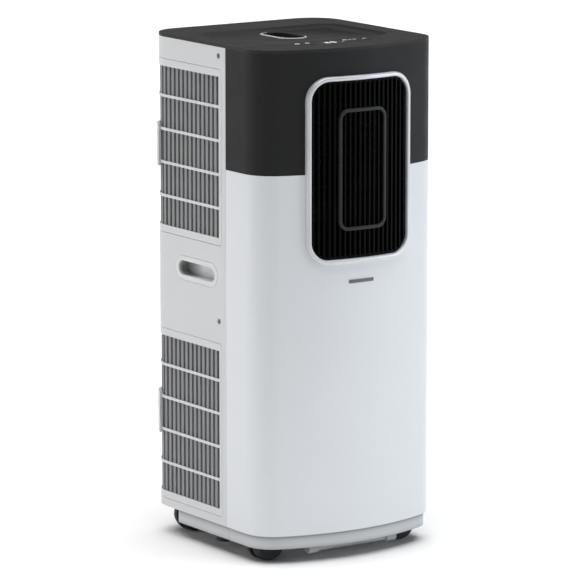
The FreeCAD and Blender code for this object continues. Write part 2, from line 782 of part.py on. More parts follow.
def outlet_trim():
    """The satin frame, the guard of upright bars and the rounded ring that crosses them."""
    centre = (0, DIM.outlet_centre)
    width, height, radius = DIM.outlet_width, DIM.outlet_height, DIM.outlet_radius
    bar = DIM.outlet_bar
    span = (-FAR, -100)
    low, high = DIM.outlet_centre - height / 2 - 1, DIM.outlet_centre + height / 2 + 1
    flange_shape = rounded_ring("frame_flange_shape", "XZ", centre, width, height, radius, bar, span)
    flange_band = ring("frame_front_ring", -DIM.outlet_proud, 0, low, high)
    flange = common("frame_flange", flange_band, flange_shape)
    inner_width, inner_height = width - bar * 2, height - bar * 2
    stroke = as_size(2.2)
    collar_width, collar_height = inner_width + stroke * 2, inner_height + stroke * 2
    collar_radius = radius - bar + stroke
    collar_shape = rounded_ring(
        "frame_collar_shape", "XZ", centre, collar_width, collar_height, collar_radius, stroke, span
    )
    collar_band = ring("frame_back_ring", -DIM.outlet_proud + 1, DIM.wall, low, high)
    collar = common("frame_collar", collar_band, collar_shape)
    name_node(gather("outlet_frame", [flange, collar]), "outlet_frame")

    guard_gap = 0.2
    rim_width, rim_height = inner_width - guard_gap * 2, inner_height - guard_gap * 2
    rim_radius = radius - bar - guard_gap
    rim_stroke = as_size(3.8)
    rim_shape = rounded_ring(
        "guard_rim_shape", "XZ", centre, rim_width, rim_height, rim_radius, rim_stroke, span
    )
    rim = common("guard_rim", ring("guard_rim_ring", -1.5, 4.5, low, high), rim_shape)
    width, height, radius = rim_width - 4, rim_height - 4, rim_radius - 2
    window = rounded_block("guard_window", "XZ", centre, width, height, radius, span)
    bars = []
    half_count = 10
    half_bar = DIM.guard_bar / 2
    for index in range(2 * half_count):
        x = DIM.guard_pitch * (index - half_count + 0.5)
        bars.append(box("guard_bar", (x - half_bar, x + half_bar), span, (low, high)))
    bar_field = gather("guard_bars", bars, "Part::Compound")
    upright = common("guard_uprights", ring("guard_bar_ring", -2.5, 2, low, high), bar_field)
    ribs = []
    for step in (-1.5, -0.5, 0.5, 1.5):
        z = DIM.outlet_centre + DIM.blade_pitch * step
        ribs.append(ring("guard_rib", 1.5, 4, z - 1.2, z + 1.2))
    lattice = gather("guard_lattice", [upright] + ribs)
    name_node(gather("outlet_guard", [rim, common("guard_field", lattice, window)]), "outlet_guard")

    stroke = DIM.ring_stroke
    ring_width, ring_height = DIM.ring_width + stroke, DIM.ring_height + stroke
    ring_radius = DIM.ring_radius + stroke / 2
    ring_shape = rounded_ring(
        "outlet_ring_shape", "XZ", centre, ring_width, ring_height, ring_radius, stroke, span
    )
    ring_band = ring("outlet_ring_band", -5.5, -2.5, low, high)
    name_node(common("outlet_ring", ring_band, ring_shape), "outlet_ring")


def blade_heights():
    return [DIM.outlet_centre + DIM.blade_pitch * step for step in (2, 1, 0, -1, -2)]


def air_duct():
    """The box behind the outlet that carries the louvre blades between its cheeks."""
    half, wall = DIM.duct_half_width, DIM.duct_wall
    low, high = DIM.outlet_centre - DIM.duct_half_height, DIM.outlet_centre + DIM.duct_half_height
    shell = box("duct_shell", (-half, half), (-137, -90), (low, high))
    space = box("duct_space", (-half + wall, half - wall), (-140, -92), (low + wall, high - wall))
    throat_span = (DIM.outlet_centre - DIM.duct_throat, DIM.outlet_centre + DIM.duct_throat)
    throat = box("duct_throat", (-DIM.duct_throat, DIM.duct_throat), (-100, -80), throat_span)
    holes = []
    hole_radius = DIM.blade_pin_radius + DIM.running_gap
    for height in blade_heights():
        start = (-half - 1, -DIM.blade_axis, height)
        holes.append(cylinder("pivot_hole", "X", start, hole_radius, half * 2 + 2))
    name_node(cut("air_duct", shell, space, throat, *holes), "air_duct")


def louvre_blades():
    """Five blades that tip together; each has end pins, a crank arm and a crank pin."""
    half = DIM.duct_half_width
    y = -DIM.blade_axis
    for number, height in enumerate(blade_heights(), 1):
        label = f"louvre_blade_{number}"
        chord, thick = DIM.blade_chord / 2, DIM.blade_thickness / 2
        vane_width, vane_height = (-half + 3, half - 16), (height - thick, height + thick)
        vane = box(label + "_vane", vane_width, (y - chord, y + chord), vane_height)
        left_end = 6 if number == 1 else 1
        pin_start = (-half - left_end, y, height)
        pin = cylinder(label + "_pin", "X", pin_start, DIM.blade_pin_radius, half * 2 + left_end + 1)
        boss = cylinder(label + "_boss", "X", (-half + 3, y, height), 3, half * 2 - 6)
        arm_end = y + DIM.crank_throw + 2.5
        arm = box(label + "_arm", (half - 8, half - 5), (y, arm_end), (height - 2.5, height + 2.5))
        crank_start = (half - 14, y + DIM.crank_throw, height)
        crank = cylinder(label + "_crank", "X", crank_start, DIM.crank_pin_radius, 8)
        name_node(gather(label, [vane, pin, boss, arm, crank]), label)


def louvre_link():
    """The upright bar that joins the five crank pins."""
    half = DIM.duct_half_width
    y = -DIM.blade_axis + DIM.crank_throw
    top, bottom = blade_heights()[0] + 5, blade_heights()[-1] - 5
    bar = box("link_bar", (half - 12.5, half - 8.8), (y - 3, y + 3), (bottom, top))
    holes = []
    for height in blade_heights():
        radius = DIM.crank_pin_radius + DIM.running_gap
        holes.append(cylinder("link_hole", "X", (half - 15, y, height), radius, 10))
    name_node(cut("louvre_link", bar, *holes), "louvre_link")


def louvre_motor():
    """The small swing motor outside the left cheek, on the top blade's pin."""
    height = blade_heights()[0]
    length = 17
    start = -DIM.duct_half_width - length
    y = -DIM.blade_axis
    can = cylinder("motor_can", "X", (start, y, height), 12, length)
    end = start + length
    ears = box("motor_ears", (end - 2, end), (y - 4, y + 4), (height - 18, height + 18))
    bore_radius = DIM.blade_pin_radius + DIM.running_gap
    bore = cylinder("motor_socket", "X", (start + 9, y, height), bore_radius, 10)
    name_node(cut("louvre_motor", gather("motor_body", [can, ears]), bore), "louvre_motor")


# Fans, coils, compressor and pipes


def drum_fan(label, axis, centre, radius, length, shaft_start, shaft_length):
    """A drum-shaped fan wheel of thin blades between two rims, with a hub disc and a shaft."""
    along = "XYZ".index(axis)
    blade_depth = 14
    count = 24

    def start_at(offset):
        point = list(centre)
        point[along] = as_size(centre[along]) + offset
        return point

    pieces = []
    for offset in (0, as_size(length) - 3):
        pieces.append(tube(label + "_rim", axis, start_at(offset), radius, radius - blade_depth, 3))
    pieces.append(cylinder(label + "_disc", axis, start_at(2), radius - 1, 2))
    pieces.append(cylinder(label + "_hub", axis, start_at(0), 11, as_size(length) / 2))
    inner_radius = radius.value - blade_depth + 1
    for index in range(count):
        around = Rotation(AXIS_TURNS[axis].multVec(Vector(0, 0, 1)), 360 * index / count)
        turn = around.multiply(AXIS_TURNS[axis])
        corner = turn.multVec(Vector(inner_radius, -0.8, 0))
        blade = DOC.addObject("Part::Box", label + "_blade")
        bind(blade, "Length", blade_depth - 2)
        bind(blade, "Width", 1.6)
        bind(blade, "Height", length)
        base = [as_size(size) + offset for size, offset in zip(start_at(0), corner)]
        place(blade, *base, turn)
        pieces.append(blade)
    shaft_point = list(centre)
    shaft_point[along] = shaft_start
    wheel = gather(label + "_wheel", pieces)
    hub_bore = cylinder(label + "_hub_bore", axis, shaft_point, DIM.shaft_radius, 400)
    bored = cut(label + "_bored", wheel, hub_bore)
    shaft = cylinder(label + "_shaft", axis, shaft_point, DIM.shaft_radius, shaft_length)
    name_node(gather(label, [bored, shaft], "Part::Compound"), label)


def fans_and_motors():
    """The two blowers, their casings and their motors."""
    y, z = DIM.evaporator_fan_axis, DIM.outlet_centre
    casing_radius = DIM.evaporator_fan_radius + 12
    body = gather(
        "blower_body",
        [
            cylinder("blower_drum", "X", (-76, y, z), casing_radius, 152),
            box("blower_throat", (-76, 76), (-89.5, y), (z - 76, z + 76)),
        ],
    )
    space = gather(
        "blower_space",
        [
            cylinder("blower_hollow", "X", (-74, y, z), casing_radius - 2, 148),
            box("blower_throat_hollow", (-74, 74), (-95, y), (z - 74, z + 74)),
        ],
    )
    inlet = cylinder("blower_inlet", "X", (70, y, z), 50, 10)
    shaft_hole = cylinder("blower_shaft_hole", "X", (-80, y, z), 8, 10)
    name_node(cut("blower_casing", body, space, inlet, shaft_hole), "blower_casing")
    drum_fan("evaporator_fan", "X", (-68, y, z), DIM.evaporator_fan_radius, 136, -110, 112)

    z = DIM.condenser_fan_height
    casing_radius = DIM.condenser_fan_radius + 15
    body = gather(
        "scroll_body",
        [
            cylinder("scroll_drum", "Y", (0, 40, z), casing_radius, 60),
            box("scroll_riser", (15, casing_radius), (40, 100), (z, 300)),
            box("scroll_head", (-66, casing_radius), (40, 100), (290, 422)),
        ],
    )
    space = gather(
        "scroll_space",
        [
            cylinder("scroll_hollow", "Y", (0, 42, z), casing_radius - 2, 56),
            box("scroll_riser_hollow", (17, casing_radius - 2), (42, 98), (z, 302)),
            box("scroll_head_hollow", (-64, casing_radius - 2), (42, 98), (292, 420)),
        ],
    )
    inlet = cylinder("scroll_inlet", "Y", (0, 95, z), 62, 10)
    outlet = cylinder("scroll_outlet", "Y", (0, 95, DIM.exhaust_height), DIM.exhaust_bore, 10)
    shaft_hole = cylinder("scroll_shaft_hole", "Y", (0, 35, z), 8, 10)
    name_node(cut("condenser_scroll", body, space, inlet, outlet, shaft_hole), "condenser_scroll")
    drum_fan("condenser_fan", "Y", (0, 46, z), DIM.condenser_fan_radius, 48, -2, 66)

    bore = DIM.shaft_radius + DIM.running_gap
    y, z = DIM.evaporator_fan_axis, DIM.outlet_centre
    upper = cut(
        "upper_motor",
        cylinder("upper_motor_can", "X", (-114, y, z), DIM.motor_radius, 37.5),
        cylinder("upper_motor_bore", "X", (-111, y, z), bore, 40),
    )
    z = DIM.condenser_fan_height
    lower = cut(
        "lower_motor",
        cylinder("lower_motor_can", "Y", (0, -6, z), DIM.motor_radius, 45.5),
        cylinder("lower_motor_bore", "Y", (0, -3, z), bore, 50),
    )
    name_node(gather("fan_motors", [upper, lower], "Part::Compound"), "fan_motors")


def coil(label, low, high):
    """A fin block with end plates and the return bends of its tubes."""
    half, front, rear = DIM.coil_half_width, DIM.coil_front, DIM.coil_rear
    pieces = [box(label + "_fins", (-half, half), (front, rear), (low, high))]
    for near, far in ((-half - 2, -half), (half, half + 2)):
        pieces.append(box(label + "_plate", (near, far), (front - 2, rear + 2), (low, high)))
    tube_radius, bend_radius, pitch = 3.5, 8, 32
    middle = (front + rear) / 2
    count = int((as_size(high) - low).value // pitch)
    for index in range(count):
        for side in (-1, 1):
            height = as_size(low) + pitch * (index + 0.5)
            bend = DOC.addObject("Part::Torus", label + "_bend")
            bind(bend, "Radius1", bend_radius)
            bind(bend, "Radius2", tube_radius)
            bind(bend, "Angle3", 180)
            sideways = Rotation(Vector(0, 0, 1), -90 * side)
            turn = Rotation(Vector(1, 0, 0), 90).multiply(sideways)
            place(bend, side * (half + 1.5), middle, height, turn)
            pieces.append(bend)
    name_node(gather(label, pieces), label)


def drip_deck():
    """The moulded deck between the cold and the warm half, with a drip tray under the upper coil."""
    plate = outline_block("deck_plate", as_size(9), DIM.deck_low, DIM.deck_low + 3)
    tray_low = DIM.deck_low + 2
    tray = box("tray", (-112, 112), (100, 138), (tray_low, tray_low + 14))
    tray_space = box("tray_space", (-110, 110), (102, 136), (tray_low + 3, tray_low + 20))
    pipe_hole = cylinder("deck_pipe_hole", "Z", (122, 88, DIM.deck_low - 1), 7, 10)
    half = DIM.duct_half_width + 1
    duct_notch = box("duct_notch", (-half, half), (-FAR, -89), (DIM.deck_low - 1, DIM.deck_low + 10))
    body = gather("deck_body", [plate, tray])
    name_node(cut("drip_deck", body, tray_space, pipe_hole, duct_notch), "drip_deck")


def compressor():
    """The hermetic compressor on three feet, each foot on a rubber grommet."""
    x, y = -50, -60
    radius = DIM.compressor_radius
    foot_low = PAN_TOP + 8
    can = cylinder("compressor_can", "Z", (x, y, foot_low + 3), radius, 160)
    dome = DOC.addObject("Part::Cone", "compressor_dome")
    bind(dome, "Radius1", radius)
    bind(dome, "Radius2", radius * 0.55)
    bind(dome, "Height", 18)
    place(dome, x, y, foot_low + 163)
    feet = [cylinder("compressor_plate", "Z", (x, y, foot_low), radius, 3)]
    grommets = []
    for angle in (30, 150, 270):
        foot_x = x + 58 * math.cos(math.radians(angle))
        foot_y = y + 58 * math.sin(math.radians(angle))
        feet.append(cylinder("compressor_foot", "Z", (foot_x, foot_y, foot_low), 11, 3))
        grommets.append(cylinder("grommet", "Z", (foot_x, foot_y, PAN_TOP), 8, 8))
    name_node(gather("compressor", [can, dome] + feet), "compressor")
    name_node(gather("compressor_grommets", grommets, "Part::Compound"), "compressor_grommets")


def bent_pipe(name, points, radius, bend):
    """A round pipe along straight runs joined by tangent arcs."""
    edges = []
    last = points[0]
    for before, corner, after in zip(points, points[1:], points[2:]):
        into = (before - corner).normalize()
        out = (after - corner).normalize()
        start = corner + into * bend
        end = corner + out * bend
        middle = corner + (into + out) * (bend * (1 - math.sqrt(0.5)))
        edges.append(Part.LineSegment(last, start).toShape())
        edges.append(Part.Arc(start, middle, end).toShape())
        last = end
    edges.append(Part.LineSegment(last, points[-1]).toShape())
    path = Part.Wire(edges)
    circle = Part.Circle(points[0], points[1] - points[0], radius)
    item = DOC.addObject("Part::Feature", name)
    item.Shape = path.makePipeShell([Part.Wire(circle.toShape())], True, False)
    return item


def refrigerant_pipes():
    """The accumulator beside the compressor, and the suction and discharge lines."""
    bottle_x, bottle_y = 26, -60
    bottle = cylinder("accumulator", "Z", (bottle_x, bottle_y, 80), 20, 120)
    suction = bent_pipe(
        "suction_pipe",
        [
            Vector(bottle_x, bottle_y, 200),
            Vector(bottle_x, bottle_y, 260),
            Vector(122, bottle_y, 260),
            Vector(122, 88, 260),
            Vector(122, 88, 470),
        ],
        5,
        18,
    )
    compressor_top = (PAN_TOP + 8 + 163 + 18).value
    discharge = bent_pipe(
        "discharge_pipe",
        [
            Vector(-50, -60, compressor_top),
            Vector(-50, -60, 290),
            Vector(-122, -60, 290),
            Vector(-122, 90, 290),
            Vector(-122, 90, 120),
        ],
        4,
        16,
    )
    pipes = [bottle, suction, discharge]
    name_node(gather("refrigerant_pipes", pipes, "Part::Compound"), "refrigerant_pipes")


# Base and casters


def base_pan():
    """The steel pan that carries the compressor, with an upstand around its edge."""
    plate = outline_block("pan_plate", DIM.frame_inset, DIM.pan_low, PAN_TOP)
    upstand = ring("pan_upstand", DIM.frame_inset, DIM.frame_inset + 2, PAN_TOP - 1, PAN_TOP + 10)
    front_part = common("pan_front_upstand", upstand, front_of(-32))
    holes = []
    for x, y in caster_places().values():
        holes.append(cylinder("stem_hole", "Z", (x, y, 45), DIM.stem_radius + 1, 20))
    holes.append(cylinder("drain_hole", "Z", (DIM.drain_across, DIM.drain_along, 45), 4.5, 20))
    name_node(cut("base_pan", gather("pan_body", [plate, front_part]), *holes), "base_pan")


def skirt():
    """The low plinth under the cabinet, open at the back so that the rear casters can turn."""

    def plan(name, inset, low, high):
        half = (DIM.half_width - inset) * 2
        rear = DIM.skirt_rear + DIM.skirt_inset - inset
        length = rear + FAR
        corner = DIM.skirt_radius + DIM.skirt_inset - inset
        middle = (0, (rear - FAR) / 2)
        trim = rounded_block(name + "_trim", "XY", middle, half, length, corner, (low, high))
        return common(name, outline_block(name + "_outline", inset, low, high), trim)

    inner_inset = DIM.skirt_inset + DIM.skirt_wall
    wall_top = DIM.pan_low - 3.5
    outer = plan("skirt_outer", DIM.skirt_inset, DIM.skirt_low, wall_top)
    inner = plan("skirt_inner", inner_inset, DIM.skirt_low - 1, wall_top + 1)
    rim_outer = plan("rim_outer", inner_inset - 0.25, wall_top - 6, DIM.pan_low)
    rim_inner = plan("rim_inner", inner_inset + 2, wall_top - 7, DIM.pan_low + 1)
    wall = cut("skirt_wall", outer, inner)
    rim = cut("skirt_rim", rim_outer, rim_inner)
    opening = DIM.rear_caster_across + 24.5
    opening_height = (DIM.skirt_low - 1, DIM.pan_low + 1)
    opening_span = (DIM.skirt_rear - 20, FAR)
    cutters = [box("skirt_opening", (-opening, opening), opening_span, opening_height)]
    groove = (-DIM.parting - DIM.seam_gap, -DIM.parting)
    for side in SIDES.values():
        near, far = DIM.half_width - DIM.skirt_inset - 0.5, DIM.half_width
        span = (near, far) if side > 0 else (-far, -near)
        cutters.append(box("skirt_groove", span, groove, (DIM.skirt_low - 1, wall_top + 1)))
    name_node(cut("skirt", gather("skirt_body", [wall, rim]), *cutters), "skirt")


def front_rail():
    """The round rail between the front casters, held by an end cap with a post on each side."""
    y, z, half = -DIM.rail_front, DIM.rail_height, DIM.rail_half_length
    pieces = [cylinder("rail", "X", (-half, y, z), DIM.rail_radius, half * 2)]
    for start in (-half - DIM.rail_cap_length, half):
        cap = cylinder("rail_cap", "X", (start, y, z), DIM.rail_cap_radius, DIM.rail_cap_length)
        post = box("rail_post", (start + 3, start + 12), (y - 4, y + 4), (z, DIM.pan_low))
        pieces.append(gather("rail_end", [cap, post]))
    name_node(gather("front_rail", pieces, "Part::Compound"), "front_rail")


def caster_places():
    """Plan position of each caster's swivel axis."""
    rows = {
        "front": (DIM.front_caster_across, -DIM.front_caster_reach),
        "rear": (DIM.rear_caster_across, DIM.rear_caster_reach),
    }
    places = {}
    for row, (across, y) in rows.items():
        for label, side in SIDES.items():
            places[f"{row}_{label}"] = (side * across, y)
    return places


def caster_fork(label, x, y):
    """The upright web between the wheels, with its cap, stem and axle hole."""
    axle_x = x - DIM.caster_trail
    half = DIM.caster_web
    disc = cylinder(label + "_disc", "Y", (axle_x, y - half, DIM.wheel_radius), 19, half * 2)
    neck = box(label + "_neck", (axle_x - 9, x + 7), (y - half, y + half), (DIM.wheel_radius, 47))
    cap = cylinder(label + "_cap", "Z", (x, y, 46.3), 12, 3.2)
    stem = cylinder(label + "_stem", "Z", (x, y, 47), DIM.stem_radius, 26)
    hole_radius = DIM.axle_radius + DIM.running_gap
    hole = cylinder(label + "_hole", "Y", (axle_x, y - 10, DIM.wheel_radius), hole_radius, 20)
    name_node(cut(label, gather(label + "_body", [disc, neck, cap, stem]), hole), label)


def caster_wheels(label, x, y):
    """Two crowned wheels pressed on one axle, which trails to the left of the stem."""
    axle_x = x - DIM.caster_trail
    pieces = []
    near, far = DIM.wheel_inner, DIM.wheel_outer
    for side, low, high in ((-1, y - far, y - near), (1, y + near, y + far)):
        ball = DOC.addObject("Part::Sphere", label + "_ball")
        bind(ball, "Radius", DIM.wheel_radius)
        place(ball, axle_x, y + side * DIM.wheel_crown, DIM.wheel_radius)
        slab = box(label + "_slab", (axle_x - 30, axle_x + 30), (low, high), (-10, 60))
        bore = cylinder(label + "_bore", "Y", (axle_x, y - 30, DIM.wheel_radius), DIM.axle_radius, 60)
        pieces.append(cut(label + "_wheel", common(label + "_slice", ball, slab), bore))
    axle_start = (axle_x, y - far + 2, DIM.wheel_radius)
    pieces.append(cylinder(label + "_axle", "Y", axle_start, DIM.axle_radius, far * 2 - 4))
    name_node(gather(label, pieces, "Part::Compound"), label)


def casters():
    """Four swivelling twin-wheel casters and the sockets that hold their stems."""
    sockets = []
    bore = DIM.stem_radius + DIM.running_gap
    for label, (x, y) in caster_places().items():
        caster_fork(f"{label}_caster_fork", x, y)
        caster_wheels(f"{label}_caster_wheels", x, y)
        sockets.append(tube("socket", "Z", (x, y, PAN_TOP), DIM.stem_radius + 4, bore, 22))
    name_node(gather("caster_sockets", sockets, "Part::Compound"), "caster_sockets")


def check_document():
    """Stop if any object failed or any sub-part is not a valid solid."""
    for item in DOC.Objects:
        if "Invalid" in item.State or "Error" in item.State:
            raise RuntimeError(f"{item.Label} failed: {item.State}")
    for item in NODES:
        if item.Shape.isNull() or not item.Shape.isValid() or not item.Shape.Solids:
            raise RuntimeError(f"{item.Label} is not a valid solid")


def build():
    front_shells()
    rear_shell()
    shell_screws()
    inner_frame()
    for level, centre in GRILLES.items():
        intake_grille(level + "_grille", centre)
        intake_filter(level + "_filter", centre)
    exhaust_collar()
    services()
    top_cover()
    recess_lip()
    controls()
    outlet_trim()
    air_duct()
    louvre_blades()
    louvre_link()
    louvre_motor()
    fans_and_motors()
    coil("evaporator_coil", DIM.deck_low + 6, 650)
    coil("condenser_coil", 80, 286)
    drip_deck()
    compressor()
    refrigerant_pipes()
    base_pan()
    skirt()
    front_rail()
    casters()


def export():
    os.makedirs("parts", exist_ok=True)
    for item in NODES:
        item.Shape.exportStep(f"parts/{item.Label}.step")
        print(item.Label, len(item.Shape.Solids), round(item.Shape.Volume))


build()
DOC.recompute()
check_document()
export()
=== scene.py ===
import json
import math

import bpy
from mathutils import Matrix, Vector


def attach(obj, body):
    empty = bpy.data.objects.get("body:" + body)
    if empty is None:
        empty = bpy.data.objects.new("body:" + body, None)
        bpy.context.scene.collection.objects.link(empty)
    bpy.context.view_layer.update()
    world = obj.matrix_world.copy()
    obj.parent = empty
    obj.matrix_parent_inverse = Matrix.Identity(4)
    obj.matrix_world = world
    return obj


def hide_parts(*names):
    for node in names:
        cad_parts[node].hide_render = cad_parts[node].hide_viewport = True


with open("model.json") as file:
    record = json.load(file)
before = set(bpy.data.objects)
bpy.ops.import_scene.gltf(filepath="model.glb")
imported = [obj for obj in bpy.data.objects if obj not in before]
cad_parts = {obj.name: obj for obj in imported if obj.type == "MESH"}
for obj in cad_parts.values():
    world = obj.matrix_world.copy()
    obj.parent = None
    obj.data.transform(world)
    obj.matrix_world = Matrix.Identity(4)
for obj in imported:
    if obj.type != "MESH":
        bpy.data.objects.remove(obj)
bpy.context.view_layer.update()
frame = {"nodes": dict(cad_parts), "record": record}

NODES = frame["nodes"]
SLOT_OF = {part["node"]: part["material_slot"] for part in frame["record"]["subparts"]}
MM = 0.001

# The cabinet's plan outline, in mm
HALF_WIDTH = 146
REACH = 154
CORNER = 46
BOW_RADIUS = 318
BOW_CENTRE = BOW_RADIUS - REACH

# The dish in the top, in mm
DISH_HALF_WIDTH = 115
DISH_FRONT = 70
DISH_REAR = 85
DISH_CORNER = 30
DISH_SLOPE = 14
# How far in from the dish's rim its painted shade spreads
DISH_SHADE_REACH = DISH_SLOPE * 1.6

# The air outlet's frame and the ring inside it: width, height and corner radius, in mm
OUTLET_Z = 535.5
FRAME_SIZE = (168, 253, 32)
RING_SIZE = (77, 165, 14.5)

# The plain bar below the outlet, in mm
BADGE_Z = 383
BADGE_HALF_WIDTH = 20
BADGE_HALF_HEIGHT = 2.4
BADGE_DEPTH = 0.5

# The control panel, in mm
PANEL_TOP = 699.8
KEY_ROW = -95
SYMBOL_ROW = KEY_ROW + 11
PRINT_DEPTH = 0.05
SYMBOL_STROKE = 1.3

# The casing screws in the sides, in mm
SCREW_FACE = 145.72
SCREW_Y = -27
SCREW_HEIGHTS = (322, 684)

# The casters in mm: where each row's forks turn, and how the wheels sit behind that axis
CASTER_PLACES = {"front": (108.5, -90), "rear": (96.5, 110)}
CASTER_TRAIL = 5.5
WHEEL_AXLE_Z = 23
WHEEL_OUTER_FACE = 16
HUB_RADII = (12, 9.5)

# Where the skirt starts above the floor and how tall it is, in mm
SKIRT_FOOT = 21
SKIRT_SPAN = 19


# Camera


CAMERA_TARGET = Vector((0.02881, 0.05385, 0.33159))
CAMERA_DISTANCE = 6.1056
CAMERA_AZIMUTH = math.radians(34.112)
CAMERA_PITCH = math.radians(10.446)
CAMERA_LENS = 270.36


def make_camera():
    """The camera stands in front on the left, slightly above the middle of the machine."""
    azimuth, pitch = CAMERA_AZIMUTH, CAMERA_PITCH
    level = math.cos(pitch)
    aim = Vector((math.sin(azimuth) * level, math.cos(azimuth) * level, -math.sin(pitch)))
    data = bpy.data.cameras.new("camera")
    data.lens = CAMERA_LENS
    data.clip_end = 100
    camera = bpy.data.objects.new("camera", data)
    camera.location = CAMERA_TARGET - aim * CAMERA_DISTANCE
    camera.rotation_euler = aim.to_track_quat("-Z", "Y").to_euler()
    bpy.context.scene.collection.objects.link(camera)
    bpy.context.scene.camera = camera


make_camera()


# Materials


class Shader:
    """A Principled material with short calls for the nodes that vary it."""

    def __init__(self, name, **constants):
        self.material = bpy.data.materials.new(name)
        self.material.use_nodes = True
        self.nodes = self.material.node_tree.nodes
        self.links = self.material.node_tree.links
        self.shader = next(node for node in self.nodes if node.type == "BSDF_PRINCIPLED")
        for socket, value in constants.items():
            self.shader.inputs[socket.replace("_", " ")].default_value = value
        self.coordinates = self.nodes.new("ShaderNodeTexCoord").outputs["Object"]

    def add(self, kind, **settings):
        node = self.nodes.new(kind)
        for key, value in settings.items():
            setattr(node, key, value)
        return node

    def math(self, operation, *values):
        node = self.add("ShaderNodeMath", operation=operation)
        for socket, value in zip(node.inputs, values):
            if isinstance(value, (int, float)):
                socket.default_value = value
            else:
                self.links.new(value, socket)
        return node.outputs[0]

    def axes(self):
        """The X, Y and Z outputs of the object coordinates."""
        parts = self.add("ShaderNodeSeparateXYZ")
        self.links.new(self.coordinates, parts.inputs[0])
        return parts.outputs

    def stretched(self, scale):
        """Object coordinates, scaled differently along each axis."""
        mapping = self.add("ShaderNodeMapping")
        mapping.inputs["Scale"].default_value = scale
        self.links.new(self.coordinates, mapping.inputs["Vector"])
        return mapping.outputs["Vector"]

    def noise(self, scale, detail=2.0, vector=None):
        node = self.add("ShaderNodeTexNoise")
        node.inputs["Scale"].default_value = scale
        node.inputs["Detail"].default_value = detail
        self.links.new(vector or self.coordinates, node.inputs["Vector"])
        return node.outputs["Fac"]

    def ramp(self, factor, low, high, start=0.3, stop=0.7):
        """A factor turned into a colour between low and high."""
        node = self.add("ShaderNodeValToRGB")
        node.color_ramp.interpolation = "EASE"
        for element, place, value in zip(node.color_ramp.elements, (start, stop), (low, high)):
            element.position = place
            element.color = (*value[:3], 1)
        self.links.new(factor, node.inputs["Fac"])
        return node.outputs["Color"]

    def stops(self, factor, places):
        """A factor turned into a colour by (place, colour) stops; the ramp's black and white ends stay."""
        node = self.add("ShaderNodeValToRGB")
        node.color_ramp.interpolation = "EASE"
        for place, value in places:
            element = node.color_ramp.elements.new(place)
            element.color = (*value[:3], 1)
        self.links.new(factor, node.inputs["Fac"])
        return node.outputs["Color"]

    def drift(self, low=0.97, high=1.0):
        """A slow, faint change of tone."""
        return self.ramp(self.noise(9, 3), grey(low), grey(high))

    def uneven_gloss(self, roughness, spread):
        """A roughness that drifts by the spread to both sides."""
        low, high = roughness * (1 - spread), min(1, roughness * (1 + spread))
        self.link(self.ramp(self.noise(30, 2), grey(low), grey(high)), "Roughness")

    def grained(self, scale, strength):
        """The fine grain of moulded plastic."""
        self.link(self.bump(self.noise(scale, 2), strength, 0.0001), "Normal")

    def mix(self, factor, first, second, blend="MIX"):
        node = self.add("ShaderNodeMix", data_type="RGBA", blend_type=blend)
        sockets = (node.inputs[0], node.inputs[6], node.inputs[7])
        for socket, value in zip(sockets, (factor, first, second)):
            if isinstance(value, (int, float)):
                socket.default_value = value
            elif isinstance(value, tuple):
                socket.default_value = (*value[:3], 1)
            else:
                self.links.new(value, socket)
        return node.outputs[2]

    def link(self, output, socket):
        self.links.new(output, self.shader.inputs[socket])

    def bump(self, height, strength, distance=0.0002):
        node = self.add("ShaderNodeBump")
        node.inputs["Strength"].default_value = strength
        node.inputs["Distance"].default_value = distance
        self.links.new(height, node.inputs["Height"])
        return node.outputs["Normal"]

    def depth_below_outline(self):
        """Distance in mm from the cabinet's outline, inwards, over the sides and the rear."""
        place = self.axes()
        across = self.math("SUBTRACT", self.math("ABSOLUTE", place["X"]), (HALF_WIDTH - CORNER) * MM)
        along = self.math("SUBTRACT", place["Y"], (REACH - CORNER) * MM)
        inward = self.inside_corner(across, along, CORNER * MM)
        return self.math("MULTIPLY", inward, 1 / MM)

    def inside_corner(self, across, along, radius):
        """Distance inwards from a rounded outline, from how far a point lies past each corner centre."""
        across, along = self.math("MAXIMUM", across, 0.0), self.math("MAXIMUM", along, 0.0)
        across_square = self.math("MULTIPLY", across, across)
        along_square = self.math("MULTIPLY", along, along)
        reach = self.math("SQRT", self.math("ADD", across_square, along_square))
        return self.math("SUBTRACT", radius, reach)


def grey(value):
    return (value, value, value)


def shade(colour, factor):
    return tuple(min(1, channel * factor) for channel in colour)


def moulded(name, colour, roughness, grain=900, depth=0.1, spread=0.05, **constants):
    """Moulded plastic: a fine grain, slow tone drift and slightly uneven gloss."""
    made = Shader(name, **constants)
    tone = made.ramp(made.noise(9, 3), shade(colour, 1 - spread), shade(colour, 1 + spread))
    made.link(tone, "Base Color")
    made.uneven_gloss(roughness, 0.07)
    made.grained(grain, depth)
    return made.material


def slatted(name, face, slat_shade, roughness):
    """Moulded plastic with painted shade: the set-back slats get a darker colour than the flush face."""
    made = Shader(name)
    depth = made.math("MULTIPLY", made.depth_below_outline(), 0.1)
    # Painted shade: the colour darkens from the face's to the slats' as the depth below the outline grows
    tone = made.ramp(depth, face, slat_shade, 0.05, 0.11)
    made.link(made.mix(1.0, tone, made.drift(), "MULTIPLY"), "Base Color")
    made.uneven_gloss(roughness, 0.1)
    made.grained(1400, 0.12)
    return made.material


def cupped(name, colour):
    """Moulded plastic with painted shade inside a hand recess, darkest at its rear end."""
    made = Shader(name, Roughness=0.5)
    # Painted shade inside the hand recess: darker towards its rear end, mixed in as the depth below the
    # outline grows
    rearward = made.math("MULTIPLY", made.axes()["Y"], 10.0)
    inner = made.ramp(rearward, shade(colour, 0.95), shade(colour, 0.4), 0.3, 0.62)
    depth = made.math("MULTIPLY", made.depth_below_outline(), 0.05)
    tone = made.mix(made.ramp(depth, grey(0), grey(1), 0.04, 0.3), colour, inner)
    made.link(made.mix(1.0, tone, made.drift(), "MULTIPLY"), "Base Color")
    made.grained(1400, 0.12)
    return made.material


